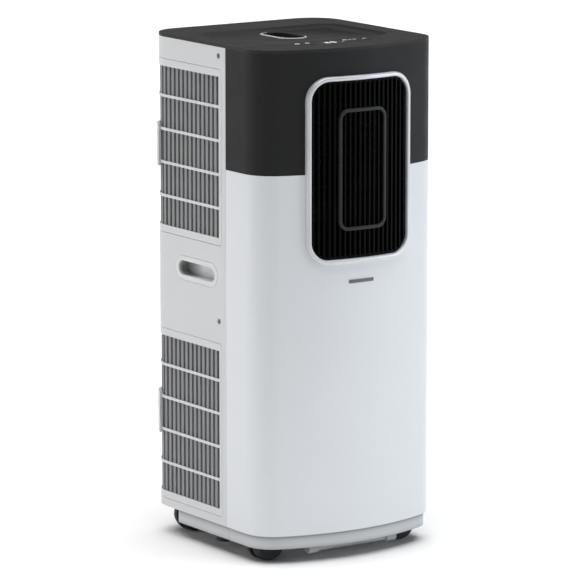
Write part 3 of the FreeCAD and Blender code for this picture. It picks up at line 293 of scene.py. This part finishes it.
def dished(name, colour, roughness, spread, **constants):
    """The dark cover, with painted shade in its dish towards the far corner: along the slope and over the
    floor.
    """
    made = Shader(name, **constants)
    place = made.axes()
    half_x = DISH_HALF_WIDTH - DISH_CORNER
    half_y = (DISH_FRONT + DISH_REAR) / 2 - DISH_CORNER
    middle = (DISH_REAR - DISH_FRONT) / 2
    from_middle = made.math("ABSOLUTE", made.math("SUBTRACT", place["Y"], middle * MM))
    across = made.math("SUBTRACT", made.math("ABSOLUTE", place["X"]), half_x * MM)
    along = made.math("SUBTRACT", from_middle, half_y * MM)
    inward = made.inside_corner(across, along, DISH_CORNER * MM)
    slope = made.math("DIVIDE", inward, DISH_SHADE_REACH * MM)
    # Painted shade: strongest just inside the rim, fading over the slope, full again deep in the dish, and
    # only towards the far corner
    band = made.stops(slope, [(0.02, grey(0.0)), (0.1, grey(1.0)), (0.5, grey(0.25)), (0.9, grey(0.0))])
    far = made.math("ADD", made.math("MULTIPLY", place["X"], 6.0), made.math("MULTIPLY", place["Y"], 4.5))
    painted_shade_amount = made.mix(1.0, band, made.ramp(far, grey(0), grey(1), 0.05, 0.6), "MULTIPLY")
    drift = made.ramp(made.noise(9, 3), shade(colour, 1 - spread), shade(colour, 1 + spread))
    made.link(made.mix(painted_shade_amount, drift, shade(colour, 0.35)), "Base Color")
    made.uneven_gloss(roughness, 0.07)
    made.grained(900, 0.06)
    return made.material


def banded(name, colour):
    """The skirt's plastic with painted light: a painted shadow line under the cabinet, a painted highlight
    on its bead, painted shade near the floor.
    """
    made = Shader(name, Roughness=0.42)
    # Painted light by height: painted shade near the floor, a painted highlight on the bead, a painted
    # shadow line under the cabinet's edge
    painted_light_tones = ((0.0, 0.6), (0.08, 0.85), (0.35, 1.0), (0.6, 0.97), (0.75, 0.8), (0.88, 0.45), (1.0, 0.3))
    above_foot = made.math("SUBTRACT", made.axes()["Z"], SKIRT_FOOT * MM)
    height = made.math("DIVIDE", above_foot, SKIRT_SPAN * MM)
    band = made.stops(height, [(place, shade(colour, tone)) for place, tone in painted_light_tones])
    made.link(made.mix(1.0, band, made.drift(), "MULTIPLY"), "Base Color")
    made.grained(900, 0.06)
    return made.material


def metal(name, colour, roughness, scratch_scale, metallic=1.0):
    """Metal with fine directional scratches and faint stains."""
    made = Shader(name, Metallic=metallic)
    made.link(made.ramp(made.noise(14, 4), shade(colour, 0.94), shade(colour, 1.04)), "Base Color")
    lines = made.noise(1, 3, made.stretched(scratch_scale))
    made.link(made.ramp(lines, grey(roughness * 0.85), grey(roughness * 1.2)), "Roughness")
    made.link(made.bump(lines, 0.08, 0.0001), "Normal")
    return made.material


def painted(name, colour, roughness, **constants):
    """Painted steel: orange peel and faint dust."""
    made = Shader(name, **constants)
    dust = made.noise(22, 5)
    made.link(made.ramp(dust, shade(colour, 0.9), shade(colour, 1.12)), "Base Color")
    made.link(made.ramp(dust, grey(roughness * 0.85), grey(roughness * 1.2)), "Roughness")
    made.link(made.bump(made.noise(260, 2), 0.15, 0.0003), "Normal")
    return made.material


def woven(name, dark, light, pitch):
    """Filter screen: crossed threads with dark holes between them."""
    made = Shader(name, Roughness=0.8, Specular_IOR_Level=0.2)
    waves = []
    for direction in ("Z", "DIAGONAL"):
        wave = made.add("ShaderNodeTexWave", bands_direction=direction)
        wave.inputs["Scale"].default_value = 1 / pitch
        made.links.new(made.coordinates, wave.inputs["Vector"])
        waves.append(wave.outputs["Fac"])
    threads = made.math("MAXIMUM", *waves)
    made.link(made.ramp(threads, dark, light, 0.45, 0.85), "Base Color")
    made.link(made.bump(threads, 0.5, 0.0003), "Normal")
    return made.material


def finned(name, colour):
    """Coil block: thin upright fins with dark gaps."""
    made = Shader(name, Metallic=0.9, Roughness=0.45)
    wave = made.add("ShaderNodeTexWave", bands_direction="X")
    wave.inputs["Scale"].default_value = 180
    made.links.new(made.coordinates, wave.inputs["Vector"])
    made.link(made.ramp(wave.outputs["Fac"], shade(colour, 0.15), colour, 0.3, 0.75), "Base Color")
    made.link(made.bump(wave.outputs["Fac"], 0.8, 0.0006), "Normal")
    return made.material


def glowing(name, colour, strength):
    """Printed symbol or lamp that glows a little unevenly; on a printed symbol the glow is painted light.
    """
    made = Shader(name, Roughness=0.4, Emission_Strength=strength)
    cells = made.noise(1500, 2)
    made.link(made.ramp(cells, shade(colour, 0.85), colour), "Emission Color")
    made.link(made.ramp(cells, shade(colour, 0.5), shade(colour, 0.6)), "Base Color")
    return made.material


MATERIALS = {
    "white_gloss": moulded("white_gloss", (0.715, 0.735, 0.76), 0.34, 700, 0.02, 0.006),
    "dark_gloss": moulded(
        "dark_gloss", (0.021, 0.0213, 0.0222), 0.45, 900, 0.06, 0.04, Specular_IOR_Level=0.1
    ),
    "light_grey": moulded("light_grey", (0.63, 0.638, 0.645), 0.5, 1400, 0.1, 0.01),
    "screw_steel": metal("screw_steel", (0.16, 0.16, 0.17), 0.4, (900, 900, 900)),
    "inner_grey": moulded("inner_grey", (0.2, 0.205, 0.21), 0.6, 700, 0.12),
    "filter_mesh": woven("filter_mesh", (0.09, 0.092, 0.095), (0.34, 0.345, 0.35), 0.0022),
    "black_rubber": moulded("black_rubber", (0.02, 0.02, 0.021), 0.7, 1200, 0.25, 0.1),
    "silver": metal("silver", (0.66, 0.67, 0.69), 0.36, (40, 40, 40), 0.35),
    "panel_gloss": moulded(
        "panel_gloss", (0.026, 0.026, 0.0265), 0.42, 900, 0.04, 0.05, Specular_IOR_Level=0.16
    ),
    "display_glass": moulded(
        "display_glass", (0.02, 0.02, 0.021), 0.3, 500, 0.02, 0.1, Specular_IOR_Level=0.16
    ),
    "circuit_board": painted("circuit_board", (0.03, 0.16, 0.07), 0.4),
    "black_plastic": moulded(
        "black_plastic", (0.0026, 0.0026, 0.0028), 0.5, 900, 0.1, 0.1, Specular_IOR_Level=0.06
    ),
    "dark_grey": moulded("dark_grey", (0.019, 0.019, 0.02), 0.4, 900, 0.06, 0.06, Specular_IOR_Level=0.25),
    "motor_steel": painted("motor_steel", (0.3, 0.3, 0.31), 0.4, Metallic=0.6),
    "fin_aluminium": finned("fin_aluminium", (0.72, 0.74, 0.76)),
    "compressor_paint": painted("compressor_paint", (0.02, 0.02, 0.022), 0.35),
    "copper_pipe": metal("copper_pipe", (0.72, 0.36, 0.2), 0.3, (60, 60, 400)),
    "pan_steel": painted("pan_steel", (0.5, 0.51, 0.52), 0.45, Metallic=0.8),
    "caster_plastic": moulded(
        "caster_plastic", (0.008, 0.008, 0.009), 0.5, 900, 0.12, 0.1, Specular_IOR_Level=0.3
    ),
    "caster_wheel": moulded(
        "caster_wheel", (0.009, 0.009, 0.0095), 0.5, 1100, 0.15, 0.1, Specular_IOR_Level=0.3
    ),
}
NODE_MATERIALS = {
    # The skirt's grey, darker than the shell, is painted shade under the cabinet
    "skirt": banded("skirt_plastic", (0.56, 0.572, 0.59)),
    # The cover's dish gets painted shade towards its far corner
    "top_cover": dished("cover_plastic", (0.029, 0.029, 0.0288), 0.45, 0.04, Specular_IOR_Level=0.12),
    "front_rail": moulded("rail_plastic", (0.34, 0.345, 0.35), 0.35, 900, 0.05, 0.02),
}
# The grilles' second colour is painted shade on their set-back slats
for level in ("upper", "lower"):
    NODE_MATERIALS[level + "_grille"] = slatted(
        level + "_grille_plastic", (0.65, 0.658, 0.665), (0.235, 0.24, 0.247), 0.5
    )
# The hand cups get painted shade inside
for side in ("left", "right"):
    NODE_MATERIALS[side + "_hand_cup"] = cupped(side + "_cup_plastic", (0.7, 0.708, 0.715))
MARKING = {
    # The printed symbols glow: painted light, since print is no lamp
    "symbol": glowing("symbol_print_painted_glow", (0.8, 0.8, 0.76), 1.1),
    "digit": glowing("digit_light", (0.95, 0.95, 0.92), 1.6),
    "lamp": glowing("lamp_light", (0.75, 0.12, 0.08), 1.2),
    "badge": moulded("badge_grey", (0.12, 0.12, 0.125), 0.4, 900, 0.05, 0.05),
}


# CAD nodes: materials and softened edges


def make_crease_group():
    """Geometry nodes that keep edges sharp where their faces meet at a steep angle."""
    group = bpy.data.node_groups.new("keep_creases", "GeometryNodeTree")
    group.interface.new_socket("Geometry", in_out="INPUT", socket_type="NodeSocketGeometry")
    group.interface.new_socket("Geometry", in_out="OUTPUT", socket_type="NodeSocketGeometry")
    start = group.nodes.new("NodeGroupInput")
    end = group.nodes.new("NodeGroupOutput")
    angle = group.nodes.new("GeometryNodeInputMeshEdgeAngle")
    steep = group.nodes.new("FunctionNodeCompare")
    steep.data_type = "FLOAT"
    steep.operation = "GREATER_THAN"
    steep.inputs[1].default_value = math.radians(28)
    smooth = group.nodes.new("GeometryNodeSetShadeSmooth")
    smooth.domain = "EDGE"
    smooth.inputs["Shade Smooth"].default_value = False
    group.links.new(angle.outputs["Unsigned Angle"], steep.inputs[0])
    group.links.new(start.outputs[0], smooth.inputs["Geometry"])
    group.links.new(steep.outputs["Result"], smooth.inputs["Selection"])
    group.links.new(smooth.outputs["Geometry"], end.inputs[0])
    return group


CREASES = make_crease_group()
EDGE_RADII = {
    "rear_shell": 0.5, "top_cover": 1.1, "skirt": 1.0,
    "upper_grille": 0.35, "lower_grille": 0.35, "left_hand_cup": 0.4, "right_hand_cup": 0.4,
    "exhaust_collar": 0.8, "outlet_guard": 0.4, "control_panel": 0.15, "cord_inlet": 0.6,
    "drain_spouts": 0.5, "rear_drain_plug": 0.8, "bottom_drain_plug": 1.2, "front_rail": 1.0,
    "top_recess_lip": 0.25,
}
for row in ("front", "rear"):
    for side in ("left", "right"):
        EDGE_RADII[f"{row}_{side}_caster_wheels"] = 1.2
        EDGE_RADII[f"{row}_{side}_caster_fork"] = 0.8


def soften(node, radius):
    """Round a CAD node's sharp edges with modifiers; its mesh stays as it is."""
    node.data.shade_smooth()
    weld = node.modifiers.new("weld", "WELD")
    weld.merge_threshold = 0.00001
    if radius:
        bevel = node.modifiers.new("edges", "BEVEL")
        bevel.limit_method = "ANGLE"
        bevel.angle_limit = math.radians(32)
        bevel.width = radius * MM
        bevel.segments = 2
        bevel.use_clamp_overlap = True
    crease = node.modifiers.new("creases", "NODES")
    crease.node_group = CREASES
    normals = node.modifiers.new("normals", "WEIGHTED_NORMAL")
    normals.keep_sharp = True


for name, node in NODES.items():
    node.data.materials.clear()
    node.data.materials.append(NODE_MATERIALS.get(name, MATERIALS[SLOT_OF[name]]))
    soften(node, EDGE_RADII.get(name, 0))


# Shapes made here


def new_piece(name, vertices, faces, material, body, smooth=True):
    """A mesh in mm that rides a body of the machine."""
    mesh = bpy.data.meshes.new(name)
    mesh.from_pydata([Vector(vertex) * MM for vertex in vertices], [], faces)
    mesh.materials.append(material)
    piece = bpy.data.objects.new(name, mesh)
    bpy.context.scene.collection.objects.link(piece)
    if smooth:
        mesh.shade_smooth()
        crease = piece.modifiers.new("creases", "NODES")
        crease.node_group = CREASES
    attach(piece, body)
    return piece


def closed_bands(rings, around):
    """Faces between rings of points, where the last ring meets the first again."""
    faces = []
    for ring in range(rings):
        here, there = ring * around, (ring + 1) % rings * around
        for lane in range(around):
            after = (lane + 1) % around
            faces.append((here + lane, here + after, there + after, there + lane))
    return faces


def rounded_path(width, height, radius, steps=10, straight=8):
    """Points and outward directions around a rounded rectangle, with extra points on the straights."""
    path = []
    centres = ((1, 1, 0), (-1, 1, 90), (-1, -1, 180), (1, -1, 270))
    for index, (right, up, start) in enumerate(centres):
        cx, cz = right * (width / 2 - radius), up * (height / 2 - radius)
        for step in range(steps + 1):
            angle = math.radians(start + 90 * step / steps)
            out = (math.cos(angle), math.sin(angle))
            path.append(((cx + radius * out[0], cz + radius * out[1]), out))
        right, up, start = centres[(index + 1) % 4]
        nx, nz = right * (width / 2 - radius), up * (height / 2 - radius)
        (ax, az), out = path[-1]
        bx, bz = nx + radius * out[0], nz + radius * out[1]
        for step in range(1, straight):
            part = step / straight
            path.append(((ax + (bx - ax) * part, az + (bz - az) * part), out))
    return path


def on_bow(x, proud):
    """The y of a point that stands proud of the bowed front, at x."""
    return BOW_CENTRE - math.sqrt((BOW_RADIUS + proud) ** 2 - x * x)


def bowed_ring(name, centre_z, width, height, radius, profile, material, slot):
    """A closed bar that follows the bowed front; profile points are (inset, height above the front)."""
    path = rounded_path(width, height, radius)
    vertices = []
    for (x, z), (out_x, out_z) in path:
        for inset, proud in profile:
            px, pz = x - out_x * inset, z - out_z * inset
            vertices.append((px, on_bow(px, proud), centre_z + pz))
    return new_piece(name, vertices, closed_bands(len(path), len(profile)), material, "cabinet")


def pillow(inset, stroke, low, high, rounding):
    """A bar section with rounded shoulders, as (inset, height) points around the bar."""
    shoulder = []
    for step in range(7):
        angle = math.radians(90 * step / 6)
        height = high - rounding + rounding * math.sin(angle)
        shoulder.append((rounding * (1 - math.cos(angle)), height))
    rising = [(inset + aside, height) for aside, height in shoulder]
    falling = [(inset + stroke - aside, height) for aside, height in reversed(shoulder)]
    return [(inset, low), *rising, *falling, (inset + stroke, low)]


def outlet_trim():
    """The satin frame with rounded shoulders and the rounded ring over the guard bars."""
    frame_bar = pillow(0, 6, -2.5, 6.5, 2.4)
    frame_ring = bowed_ring(
        "outlet_frame_trim", OUTLET_Z, *FRAME_SIZE, frame_bar, MATERIALS["silver"], "silver"
    )
    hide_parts("outlet_frame")
    ring_bar = pillow(0, 5, 2.5, 5.5, 1.4)
    ring = bowed_ring(
        "outlet_ring_trim", OUTLET_Z, *RING_SIZE, ring_bar, MATERIALS["dark_grey"], "dark_grey"
    )
    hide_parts("outlet_ring")


def flat_slab(name, outline, low, high, material, body):
    """A thin slab on a horizontal plane with the given outline."""
    count = len(outline)
    vertices = [(x, y, low) for x, y in outline] + [(x, y, high) for x, y in outline]
    faces = [tuple(range(count, count * 2)), tuple(reversed(range(count)))]
    for index in range(count):
        after = (index + 1) % count
        faces.append((index, after, after + count, index + count))
    return new_piece(name, vertices, faces, material, body, smooth=False)


def badge():
    """A plain bar on the front below the outlet."""
    half, height, steps = BADGE_HALF_WIDTH, BADGE_HALF_HEIGHT, 8
    vertices = []
    for step in range(steps + 1):
        x = -half + 2 * half * step / steps
        for up, proud in ((-height, 0), (-height, BADGE_DEPTH), (height, BADGE_DEPTH), (height, 0)):
            vertices.append((x, on_bow(x, proud), BADGE_Z + up))
    faces = [(0, 1, 2, 3), tuple(reversed(range(steps * 4, steps * 4 + 4)))]
    for step in range(steps):
        for lane in range(4):
            after = (lane + 1) % 4
            faces.append((step * 4 + lane, step * 4 + 4 + lane, step * 4 + 4 + after, step * 4 + after))
    new_piece("badge_bar", vertices, faces, MARKING["badge"], "cabinet", smooth=False)


def strip(name, points, width, material):
    """A flat line of the given width through the points, on the control panel."""
    sides = []
    for index, (x, y) in enumerate(points):
        before = points[max(0, index - 1)]
        after = points[min(len(points) - 1, index + 1)]
        direction = Vector((after[0] - before[0], after[1] - before[1])).normalized()
        sides.append((x, y, -direction.y * width / 2, direction.x * width / 2))
    outline = [(x + dx, y + dy) for x, y, dx, dy in sides]
    outline += [(x - dx, y - dy) for x, y, dx, dy in reversed(sides)]
    return flat_slab(name, outline, PANEL_TOP, PANEL_TOP + PRINT_DEPTH, material, "cabinet")


def arc(x, y, radius, start, stop, steps=14):
    angles = [math.radians(start + (stop - start) * step / steps) for step in range(steps + 1)]
    return [(x + radius * math.cos(angle), y + radius * math.sin(angle)) for angle in angles]


def digit(name, x, y, segments):
    """A seven-segment digit, with its height along y."""
    w, h, gap = 2.6, 4.4, 0.3
    lines = {
        "top": ((-w, h), (w, h)), "middle": ((-w, 0), (w, 0)), "bottom": ((-w, -h), (w, -h)),
        "left_high": ((-w, gap), (-w, h)), "left_low": ((-w, -h), (-w, -gap)),
        "right_high": ((w, gap), (w, h)), "right_low": ((w, -h), (w, -gap)),
    }
    for segment in segments:
        points = [(x + dx, y + dy) for dx, dy in lines[segment]]
        strip(f"{name}_{segment}", points, 1.1, MARKING["digit"])


def panel_marks():
    """Symbols beside the keys, a small lamp and two lit digits in the display."""
    digit("tens", -16, KEY_ROW, ("top", "middle", "bottom", "right_high", "left_low"))
    digit("units", -6, KEY_ROW, ("top", "middle", "bottom", "left_high", "right_low", "right_high"))
    row = SYMBOL_ROW
    marks = {
        "power_arc": arc(-57, row, 2.7, 125, 415),
        "power_line": [(-57, row + 0.4), (-57, row + 3.8)],
        "mode_roof": [(-43.6, row - 0.6), (-41, row + 3), (-38.4, row - 0.6)],
        "mode_line": [(-43.6, row - 2.4), (-38.4, row - 2.4)],
        "fan_first": arc(20, row, 2.6, 20, 160),
        "fan_second": arc(20, row, 2.6, 200, 340),
        "speed_mark": [(26, row), (31, row)],
        "down_arrow": [(33.4, row + 1.6), (36, row - 2), (38.6, row + 1.6)],
        "up_arrow": [(49.4, row - 1.6), (52, row + 2), (54.6, row - 1.6)],
    }
    for name, points in marks.items():
        strip(name, points, SYMBOL_STROKE, MARKING["symbol"])
    strip("lamp_mark", [(10, KEY_ROW - 2), (10, KEY_ROW + 2)], 2.6, MARKING["lamp"])


def box_piece(name, x, y, z, material, body):
    """A small block given by its spans in mm."""
    vertices = [(a, b, c) for a in x for b in y for c in z]
    faces = [(0, 1, 3, 2), (4, 6, 7, 5), (0, 4, 5, 1), (2, 3, 7, 6), (0, 2, 6, 4), (1, 5, 7, 3)]
    return new_piece(name, vertices, faces, material, body, smooth=False)


def screw_crosses():
    """The dark cross on each casing screw's head: a thin dark slab as painted shade in the cross slot."""
    long_half, thin_half, depth = 2, 0.45, 0.1
    turns = {"flat": (long_half, thin_half), "upright": (thin_half, long_half)}
    for side, label in ((-1, "left"), (1, "right")):
        span = sorted((side * (SCREW_FACE - depth), side * SCREW_FACE))
        for height in SCREW_HEIGHTS:
            for turn, (half_y, half_z) in turns.items():
                # Painted shade: a dark slab where the cross slot's shade falls
                box_piece(
                    f"{label}_{height}_{turn}_slot", span, (SCREW_Y - half_y, SCREW_Y + half_y),
                    (height - half_z, height + half_z), MATERIALS["black_rubber"], "cabinet",
                )


def ring_piece(name, centre, outer, inner, low, high, material, body, slot, steps=48):
    """A flat ring around an axis along y, between two y positions."""
    x, z = centre
    section = ((outer, low), (outer, high), (inner, high), (inner, low))
    vertices = []
    for step in range(steps):
        angle = 2 * math.pi * step / steps
        for radius, y in section:
            vertices.append((x + radius * math.cos(angle), y, z + radius * math.sin(angle)))
    return new_piece(name, vertices, closed_bands(steps, len(section)), material, body)


def caster_rings():
    """A raised hub ring on the outer face of each caster wheel."""
    sunk, raised = 0.5, 0.8
    for row, (across, along) in CASTER_PLACES.items():
        for label, side in (("left", -1), ("right", 1)):
            body = f"{row}_{label}_caster_wheels"
            hub = (side * across - CASTER_TRAIL, WHEEL_AXLE_Z)
            for end, direction in (("near", -1), ("far", 1)):
                face = along + direction * WHEEL_OUTER_FACE
                low, high = sorted((face - direction * sunk, face + direction * raised))
                ring_piece(
                    f"{row}_{label}_{end}_hub", hub, *HUB_RADII, low, high,
                    MATERIALS["caster_plastic"], body, "caster_wheel",
                )


outlet_trim()
badge()
panel_marks()
screw_crosses()
caster_rings()


# Stage


def make_floor():
    """A pale floor with painted shade: its colour falls off to grey in front, on the camera's side."""
    mesh = bpy.data.meshes.new("floor")
    half = 30
    corners = [(-half, -half, 0), (half, -half, 0), (half, half, 0), (-half, half, 0)]
    mesh.from_pydata(corners, [], [(0, 1, 2, 3)])
    floor = bpy.data.objects.new("floor", mesh)
    bpy.context.scene.collection.objects.link(floor)
    made = Shader("floor", Roughness=0.9, Specular_IOR_Level=0.0)
    toward = made.add("ShaderNodeVectorMath", operation="DOT_PRODUCT")
    toward.inputs[1].default_value = (-0.62, -0.78, 0)
    made.links.new(made.coordinates, toward.inputs[0])
    distance = made.math("MULTIPLY", toward.outputs["Value"], 0.1)
    speck = made.ramp(made.noise(0.6, 2), grey(0.97), grey(1.0))
    # Painted shade: the floor's colour darkens from 0.5 m to 1.3 m out towards the camera's side
    tone = made.ramp(distance, grey(0.95), grey(0.5), 0.05, 0.13)
    made.link(made.mix(1.0, tone, speck, "MULTIPLY"), "Base Color")
    mesh.materials.append(made.material)


def make_world():
    """A dim studio with a pale band along the horizon, so that low views stay pale too."""
    world = bpy.data.worlds.new("studio")
    world.use_nodes = True
    nodes, links = world.node_tree.nodes, world.node_tree.links
    coordinates = nodes.new("ShaderNodeTexCoord")
    parts = nodes.new("ShaderNodeSeparateXYZ")
    links.new(coordinates.outputs["Generated"], parts.inputs[0])
    band = nodes.new("ShaderNodeValToRGB")
    band.color_ramp.interpolation = "EASE"
    for element, place, value in zip(band.color_ramp.elements, (0.03, 0.15), (0.9, 0.11)):
        element.position = place
        element.color = (value, value, value, 1)
    links.new(parts.outputs["Z"], band.inputs["Fac"])
    links.new(band.outputs["Color"], nodes["Background"].inputs["Color"])
    nodes["Background"].inputs["Strength"].default_value = 1.0
    bpy.context.scene.world = world


def add_light(name, kind, place, target, power, colour=(1, 1, 1), **settings):
    """A light at a place, turned towards a target."""
    data = bpy.data.lights.new(name, kind)
    data.energy = power
    data.color = colour
    for key, value in settings.items():
        setattr(data, key, value)
    light = bpy.data.objects.new(name, data)
    light.location = place
    light.rotation_euler = (Vector(target) - Vector(place)).to_track_quat("-Z", "Y").to_euler()
    bpy.context.scene.collection.objects.link(light)


FOOT = (0, 0, 0)
MIDDLE = (0, 0, 0.35)
COOL = (0.78, 0.91, 1.0)

make_floor()
make_world()
add_light("ceiling", "SUN", (0, 0, 3), FOOT, 3.5, angle=math.radians(72))
add_light("left_rear", "AREA", (-3.2, 1.6, 1.1), MIDDLE, 22, size=2.0)
add_light("right_front", "AREA", (2.9, -2.6, 1.1), MIDDLE, 35, COOL, size=1.5)
bpy.context.scene.view_settings.view_transform = "Standard"
